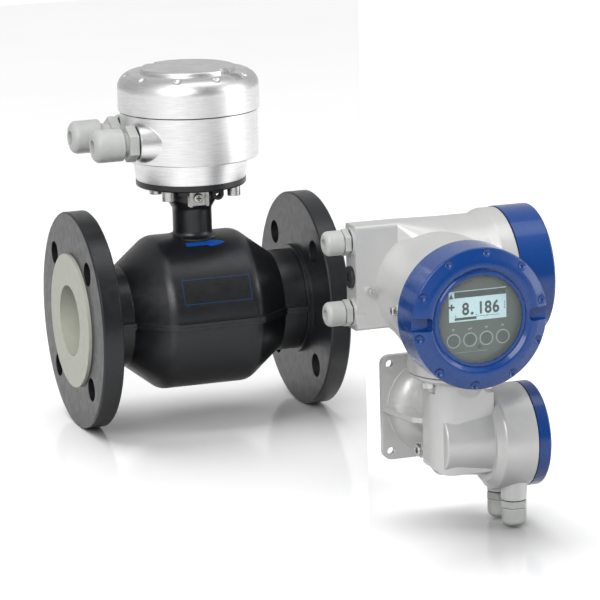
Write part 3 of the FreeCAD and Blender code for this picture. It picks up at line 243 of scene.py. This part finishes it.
def dress_nodes():
    """Give every CAD node the look of its material slot."""
    for part in frame["record"]["subparts"]:
        obj = NODES[part["node"]]
        look = SLOT_LOOKS[part["material_slot"]]
        obj.data.materials.clear()
        obj.data.materials.append(look)


dress_nodes()


# ---------------------------------------------------------------- small pieces

def piece(name, verts, faces, look, body):
    """A small mesh that rides on a body and takes the look it is given."""
    mesh = bpy.data.meshes.new(name)
    mesh.from_pydata([tuple(vert) for vert in verts], [], faces)
    mesh.validate()
    mesh.materials.append(look)
    obj = bpy.data.objects.new(name, mesh)
    bpy.context.scene.collection.objects.link(obj)
    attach(obj, body)
    return obj


def prism(outline, place, up, out, depth):
    """A flat prism: outline in (u, v), laid at place with v along up, standing out by depth."""
    right = up.cross(out)
    low = [place + right * u + up * v for u, v in outline]
    high = [point + out * depth for point in low]
    count = len(outline)
    faces = [list(range(count, 2 * count))]
    for index in range(count):
        after = (index + 1) % count
        faces.append([index, after, count + after, count + index])
    return low + high, faces


FACE_LOW, FACE_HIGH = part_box("display_faceplate")
FACE_POINT = Vector(((FACE_LOW.x + FACE_HIGH.x) / 2, FACE_LOW.y, (FACE_LOW.z + FACE_HIGH.z) / 2))
LCD_LOW, LCD_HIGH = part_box("display_lcd")
LCD_POINT = Vector(((LCD_LOW.x + LCD_HIGH.x) / 2, LCD_LOW.y, (LCD_LOW.z + LCD_HIGH.z) / 2))
KEYS_LOW, KEYS_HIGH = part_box("optical_keys")
OUT = Vector((0, -1, 0))
UP = Vector((0, 0, 1))
KEY_COUNT = 4
EYE_DEPTH = 0.0002
PRINT_DEPTH = 0.00008
INK_DEPTH = 0.00006
DIGIT_WEIGHT = 0.0003
DIGIT_DEPTH = 0.00004


def flat_group(name, outlines, place, look, body, depth=PRINT_DEPTH):
    """Several flat shapes on the display side, in millimetres from a place, as one piece."""
    verts = []
    faces = []
    for outline in outlines:
        shape = [(u * MM, v * MM) for u, v in outline]
        more, sides = prism(shape, place, UP, OUT, depth)
        faces += [[index + len(verts) for index in face] for face in sides]
        verts += more
    return piece(name, verts, faces, look, body)


def bar(left, right, low, high):
    """The corners of a rectangle."""
    return [(left, low), (right, low), (right, high), (left, high)]


def ring(u, v, outer, inner, count=48):
    """A ring as two half bands, so that each outline is a simple polygon."""
    bands = []
    for first in (0, count // 2):
        angles = [2 * math.pi * (first + step) / count for step in range(count // 2 + 1)]
        out_side = [(u + outer * math.cos(a), v + outer * math.sin(a)) for a in angles]
        in_side = [(u + inner * math.cos(a), v + inner * math.sin(a)) for a in reversed(angles)]
        bands.append(out_side + in_side)
    return bands


def disc(u, v, radius, count=32):
    """A round spot."""
    return [(u + radius * math.cos(2 * math.pi * k / count), v + radius * math.sin(2 * math.pi * k / count))
            for k in range(count)]


def digit_mesh(sign, size, wide, place):
    """One sign of the plain built-in font as a thin mesh that faces the viewer's side."""
    curve = bpy.data.curves.new("digit", "FONT")
    curve.body = sign
    curve.size = size * MM
    curve.offset = DIGIT_WEIGHT
    curve.extrude = DIGIT_DEPTH
    source = bpy.data.objects.new("digit_source", curve)
    bpy.context.scene.collection.objects.link(source)
    bpy.context.view_layer.update()
    evaluated = source.evaluated_get(bpy.context.evaluated_depsgraph_get())
    mesh = bpy.data.meshes.new_from_object(evaluated)
    bpy.data.objects.remove(source)
    upright = Matrix.Rotation(math.pi / 2, 4, "X")
    mesh.transform(Matrix.Translation(place) @ upright @ Matrix.Diagonal((wide, 1, 1, 1)))
    mesh.materials.clear()
    mesh.materials.append(INK)
    return mesh


def add_digits():
    """The reading on the display: each sign with its place in millimetres, its size and its width."""
    base, tall, narrow = -6.3, 12.2, 0.88
    reading = (
        ("+", -22.2, -3.1, 8.2, 1.0),
        ("8", -11.9, base, tall, narrow),
        (".", -5.7, base, tall, 1.1),
        ("1", -0.3, base, tall, narrow),
        ("8", 5.3, base, tall, narrow),
        ("6", 11.2, base, tall, narrow),
    )
    for index, (sign, u, v, size, wide) in enumerate(reading):
        place = LCD_POINT + Vector((u * MM, -INK_DEPTH, v * MM))
        obj = bpy.data.objects.new("display_digit_%d" % index, digit_mesh(sign, size, wide, place))
        bpy.context.scene.collection.objects.link(obj)
        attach(obj, "head")


def add_display_marks():
    """The header bar, the bar graph and the small marks of the display."""
    shapes = [
        bar(-17.6, 21.8, 6.1, 10.5),
        [(-21.9, 5.9), (-18.3, 5.9), (-20.1, 9.4)],
        bar(-17.6, -1.0, -10.0, -8.1),
        bar(-1.0, 15.6, -8.3, -8.0),
        bar(7.0, 7.3, -9.0, -7.6),
        bar(15.4, 15.7, -9.0, -7.6),
        bar(-17.3, -16.7, -7.4, -6.2),
        bar(-15.9, -15.6, -7.4, -6.6),
        bar(-1.6, -0.4, -7.2, -6.8),
        bar(12.2, 13.0, -6.8, -6.2),
        bar(13.4, 14.6, -6.8, -6.2),
        bar(20.3, 20.9, -4.2, -3.0),
        bar(20.3, 20.9, -2.2, -1.2),
        bar(20.3, 20.9, -0.4, 0.8),
    ]
    flat_group("display_marks", shapes, LCD_POINT, INK, "head", INK_DEPTH)


def add_key_prints():
    """The pale rings round the optical keys, their signs, and the line and spot under them."""
    key_radius = (KEYS_HIGH.z - KEYS_LOW.z) / 2
    first = (KEYS_LOW.x + key_radius - FACE_POINT.x) / MM
    last = (KEYS_HIGH.x - key_radius - FACE_POINT.x) / MM
    v = ((KEYS_LOW.z + KEYS_HIGH.z) / 2 - FACE_POINT.z) / MM
    rings = []
    eyes = []
    signs = []
    for index in range(KEY_COUNT):
        u = first + (last - first) * index / (KEY_COUNT - 1)
        rings += ring(u, v, 5.25, 4.35)
        eyes += [disc(u, v + 1.8, 0.9, 20), disc(u, v - 1.8, 0.9, 20)]
        signs += key_sign(index, u, v + 8.2)
    signs.append(bar(-18.0, 7.0, v - 8.9, v - 8.6))
    flat_group("key_rings", rings, FACE_POINT, PRINT, "head")
    flat_group("key_signs", signs, FACE_POINT, PRINT, "head")
    flat_group("key_eyes", eyes, FACE_POINT - OUT * EYE_DEPTH, INK, "head")
    flat_group("service_port", [disc(0.6, v - 5.6, 1.5)], FACE_POINT, INK, "head")


def key_sign(index, u, v):
    """The sign over a key: an arrow to the right, an enter arrow, and arrows down and up."""
    if index == 0:
        return [[(u - 0.7, v - 1.3), (u + 0.9, v), (u - 0.7, v + 1.3)]]
    if index == 1:
        tip = [(u - 1.7, v - 0.3), (u - 0.4, v - 1.3), (u - 0.4, v + 0.7)]
        return [tip, bar(u - 0.4, u + 1.6, v - 0.6, v), bar(u + 1.2, u + 1.6, v, v + 1.2)]
    tip = -1.1 if index == 2 else 1.1
    side = sorted((u - 1.3, u + 1.3), reverse=index == 3)
    return [[(u, v + tip), (side[1], v - tip * 0.4), (side[0], v - tip * 0.4)]]


add_digits()
add_display_marks()
add_key_prints()


PRINT_LIFT = 0.00006
DRUM = PRINT_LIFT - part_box("lower_half_shell")[0].z
BAND_STEPS = 6


def drape(name, bands, look):
    """Thin print on the sensor's drum. Each band is a list of (x, low, high) in millimetres,
    where low and high are measured over the drum from its top line towards the front."""
    row = BAND_STEPS + 1
    verts = []
    faces = []
    for band in bands:
        first = len(verts)
        for x, low, high in band:
            for step in range(row):
                angle = (low + (high - low) * step / BAND_STEPS) * MM / DRUM
                verts.append(Vector((x * MM, -DRUM * math.sin(angle), DRUM * math.cos(angle))))
        for i in range(len(band) - 1):
            for j in range(BAND_STEPS):
                k = first + row * i + j
                faces.append([k, k + 1, k + row + 1, k + row])
    return piece(name, verts, faces, look, "sensor_and_base")


CROSS_SINK = 0.00002
CROSS_DEPTH = 0.00006
CROSS_STEP = 0.00001


def straight(first, last, low, high, count=12):
    """A band of even height from one x to another."""
    return [(first + (last - first) * k / count, low, high) for k in range(count + 1)]


def add_prints():
    """The flow arrow and the empty frame of the name field on the drum."""
    shaft = straight(-12.7, 4.5, 20.6, 25.4)
    head = [(4.5, 18.8, 27.2), (9.0, 18.9, 27.1), (14.5, 20.6, 25.4), (18.4, 22.8, 23.2)]
    drape("flow_arrow", [shaft, head], ARROW)
    left, right, low, high, line = -26, 28, 57.0, 77.0, 0.9
    frame_lines = [
        straight(left, right, low, low + line),
        straight(left, right, high - line, high),
        straight(left, left + line, low, high, 2),
        straight(right - line, right, low, high, 2),
    ]
    drape("name_field_frame", frame_lines, FAINT)


def add_cross_shade(name, node, span, width, body):
    """The cross recess of a screw as painted shade: two dark bars flush with the front of its head stand in
    for the shade inside the recess.
    """
    low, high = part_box(node)
    place = (low + high) / 2 + OUT * ((high.y - low.y) / 2 - CROSS_SINK)
    verts, faces = prism(bar(-span, span, -width, width), place, UP, OUT, CROSS_DEPTH)
    more, sides = prism(bar(-width, width, -span, span), place, UP, OUT, CROSS_DEPTH + CROSS_STEP)
    faces = faces + [[index + len(verts) for index in face] for face in sides]
    # The bars take the dark rubber look as painted shade, not as rubber.
    piece(name, verts + more, faces, RUBBER_AND_SHADE, body)


add_prints()
add_cross_shade("ground_screw_cross_shade", "ground_screw", 0.0021, 0.0005, "sensor_and_base")


# ---------------------------------------------------------------- studio

CAMERA_PLACE = Vector((-0.8159, -2.57019, 0.60985))
CAMERA_TURN = (0.3373, 0.2211, -0.0256)
CAMERA_LENS = 216
SENSOR_WIDTH = 36


def add_camera():
    """The photograph's viewpoint: a long lens, turned by yaw, pitch and roll in radians."""
    yaw, pitch, roll = CAMERA_TURN
    ahead = Vector((math.sin(yaw) * math.cos(pitch), math.cos(yaw) * math.cos(pitch), -math.sin(pitch)))
    level = Vector((math.cos(yaw), -math.sin(yaw), 0))
    upright = level.cross(ahead)
    right = level * math.cos(roll) + upright * math.sin(roll)
    up = upright * math.cos(roll) - level * math.sin(roll)
    data = bpy.data.cameras.new("camera")
    data.lens = CAMERA_LENS
    data.sensor_width = SENSOR_WIDTH
    data.clip_end = 20
    camera = bpy.data.objects.new("camera", data)
    turn = Matrix((right, up, -ahead)).transposed().to_4x4()
    camera.matrix_world = Matrix.Translation(CAMERA_PLACE) @ turn
    bpy.context.scene.collection.objects.link(camera)
    bpy.context.scene.camera = camera


def add_light(name, place, target, size, power):
    """A white rectangular lamp at a place, aimed at a target."""
    data = bpy.data.lights.new(name, "AREA")
    data.shape = "RECTANGLE"
    data.size, data.size_y = size
    data.energy = power
    obj = bpy.data.objects.new(name, data)
    aim = Vector(target) - Vector(place)
    obj.matrix_world = Matrix.Translation(place) @ aim.to_track_quat("-Z", "Y").to_matrix().to_4x4()
    bpy.context.scene.collection.objects.link(obj)


FLOOR_REACH = 4
FLOOR_DEPTH = 3
FLOOR_GAP = 0.002
EDGE_INSET = 0.011
CONVERTER_FLOOR_WHITE = 0.56
SENSOR_FLOOR_WHITE = 0.46
FLOOR_TO_DIFFUSE = 0.14


def stage_sheet(name, corners, look):
    """A flat sheet of the stage, which is no part of the object."""
    mesh = bpy.data.meshes.new(name)
    mesh.from_pydata(corners, [], [list(range(len(corners)))])
    mesh.materials.append(look)
    sheet = bpy.data.objects.new(name, mesh)
    bpy.context.scene.collection.objects.link(sheet)
    return sheet


def add_floors():
    """Two pale sheets: the sensor stands on the upper one, and the converter hangs over the lower one.
    The upper sheet ends between the two, along the line of sight, and keeps no light from the lower."""
    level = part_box("inlet_flange")[0].z
    low = min(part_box("front_base_gland_cap")[0].z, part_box("rear_base_gland_cap")[0].z) - FLOOR_GAP
    corners = [(x, y, low) for x, y in bar(-FLOOR_REACH, FLOOR_REACH, -FLOOR_DEPTH, FLOOR_DEPTH)]
    look = floor_look("converter_floor_white", CONVERTER_FLOOR_WHITE)
    lower = stage_sheet("converter_floor", corners, look)
    edge = Vector((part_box("outlet_flange")[1].x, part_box("base_housing")[1].y, level))
    edge -= Vector((EDGE_INSET, EDGE_INSET, 0))
    sight = Vector((CAMERA_PLACE.x - edge.x, CAMERA_PLACE.y - edge.y, 0))
    near = edge + sight
    far = edge - sight
    corners = [(-FLOOR_REACH, near.y, level), near, far, (-FLOOR_REACH, far.y, level)]
    look = floor_look("sensor_floor_white", SENSOR_FLOOR_WHITE)
    upper = stage_sheet("sensor_floor", corners, look)
    upper.visible_shadow = False
    upper.visible_diffuse = False
    return [lower, upper]


def floor_look(name, white):
    """A pale sheet with a trace of gloss. Diffuse rays find it darker, so that it throws little light
    up at the object."""
    look = Look(name)
    look.set(Roughness=0.12, Specular_IOR_Level=0.3)
    look.color(look.noise(6.0, 2.0), (white - 0.01,) * 3, (white,) * 3)
    dim = look.add("ShaderNodeBsdfDiffuse")
    dim.inputs["Color"].default_value = (*(FLOOR_TO_DIFFUSE,) * 3, 1)
    rays = look.add("ShaderNodeLightPath")
    mix = look.add("ShaderNodeMixShader")
    look.link(rays.outputs["Is Diffuse Ray"], mix.inputs["Fac"])
    look.link(look.shader.outputs["BSDF"], mix.inputs[1])
    look.link(dim.outputs["BSDF"], mix.inputs[2])
    look.link(mix.outputs["Shader"], look.tree.nodes["Material Output"].inputs["Surface"])
    return look.material


FLOOR_SUN_POWER = 6.3
FLOOR_SUN_SPREAD = 60
FLOOR_SUN_AIM = (0.30, -0.60, -1.55)


def add_floor_sun(floors):
    """A wide sun from above and behind that lights the floors alone and makes them white,
    so that only the soft shadows show them."""
    data = bpy.data.lights.new("floor_sun", "SUN")
    data.energy = FLOOR_SUN_POWER
    data.angle = math.radians(FLOOR_SUN_SPREAD)
    obj = bpy.data.objects.new("floor_sun", data)
    obj.matrix_world = Vector(FLOOR_SUN_AIM).to_track_quat("-Z", "Y").to_matrix().to_4x4()
    bpy.context.scene.collection.objects.link(obj)
    lit = bpy.data.collections.new("lit_by_floor_sun")
    for floor in floors:
        lit.objects.link(floor)
    obj.light_linking.receiver_collection = lit


# Brightness of the studio's walls by direction, once round the object.
WALL_TONES = [
    (0.0, 0.6), (0.08, 1.0), (0.16, 0.85), (0.22, 0.5), (0.265, 0.2), (0.32, 0.22),
    (0.38, 0.7), (0.46, 1.0), (0.55, 0.5), (0.72, 0.65), (0.88, 0.45), (1.0, 0.6),
]


def wall_color(tree):
    """The walls: a ramp of greys round the vertical axis."""
    coords = tree.nodes.new("ShaderNodeTexCoord")
    around = tree.nodes.new("ShaderNodeTexGradient")
    around.gradient_type = "RADIAL"
    tree.links.new(coords.outputs["Generated"], around.inputs["Vector"])
    walls = tree.nodes.new("ShaderNodeValToRGB")
    elements = walls.color_ramp.elements
    while len(elements) < len(WALL_TONES):
        elements.new(0.5)
    for element, (place, tone) in zip(elements, WALL_TONES):
        element.position = place
        element.color = (tone, tone, tone, 1)
    tree.links.new(around.outputs["Color"], walls.inputs["Fac"])
    return walls.outputs["Color"]


def set_world():
    """White for the camera and through glass, and lighter and darker walls for the metal to show."""
    world = bpy.data.worlds.new("studio")
    world.use_nodes = True
    tree = world.node_tree
    walls = wall_color(tree)
    rays = tree.nodes.new("ShaderNodeLightPath")
    seen = tree.nodes.new("ShaderNodeMath")
    seen.operation = "MAXIMUM"
    tree.links.new(rays.outputs["Is Camera Ray"], seen.inputs[0])
    tree.links.new(rays.outputs["Is Transmission Ray"], seen.inputs[1])
    mix = tree.nodes.new("ShaderNodeMix")
    mix.data_type = "RGBA"
    mix.inputs["B"].default_value = (1, 1, 1, 1)
    tree.links.new(seen.outputs["Value"], mix.inputs["Factor"])
    tree.links.new(walls, mix.inputs["A"])
    tree.links.new(mix.outputs["Result"], tree.nodes["Background"].inputs["Color"])
    bpy.context.scene.world = world


bpy.context.scene.view_settings.view_transform = "Standard"
add_camera()
set_world()
add_floor_sun(add_floors())
add_light("key", (-1.4, -1.9, 1.5), (0, -0.05, 0), (1.7, 1.5), 40)
add_light("top", (0.1, -0.4, 1.9), (0.05, -0.05, 0), (2.0, 1.0), 8)
add_light("right", (1.8, -1.0, 0.6), (0.1, -0.1, 0), (0.9, 1.4), 12)
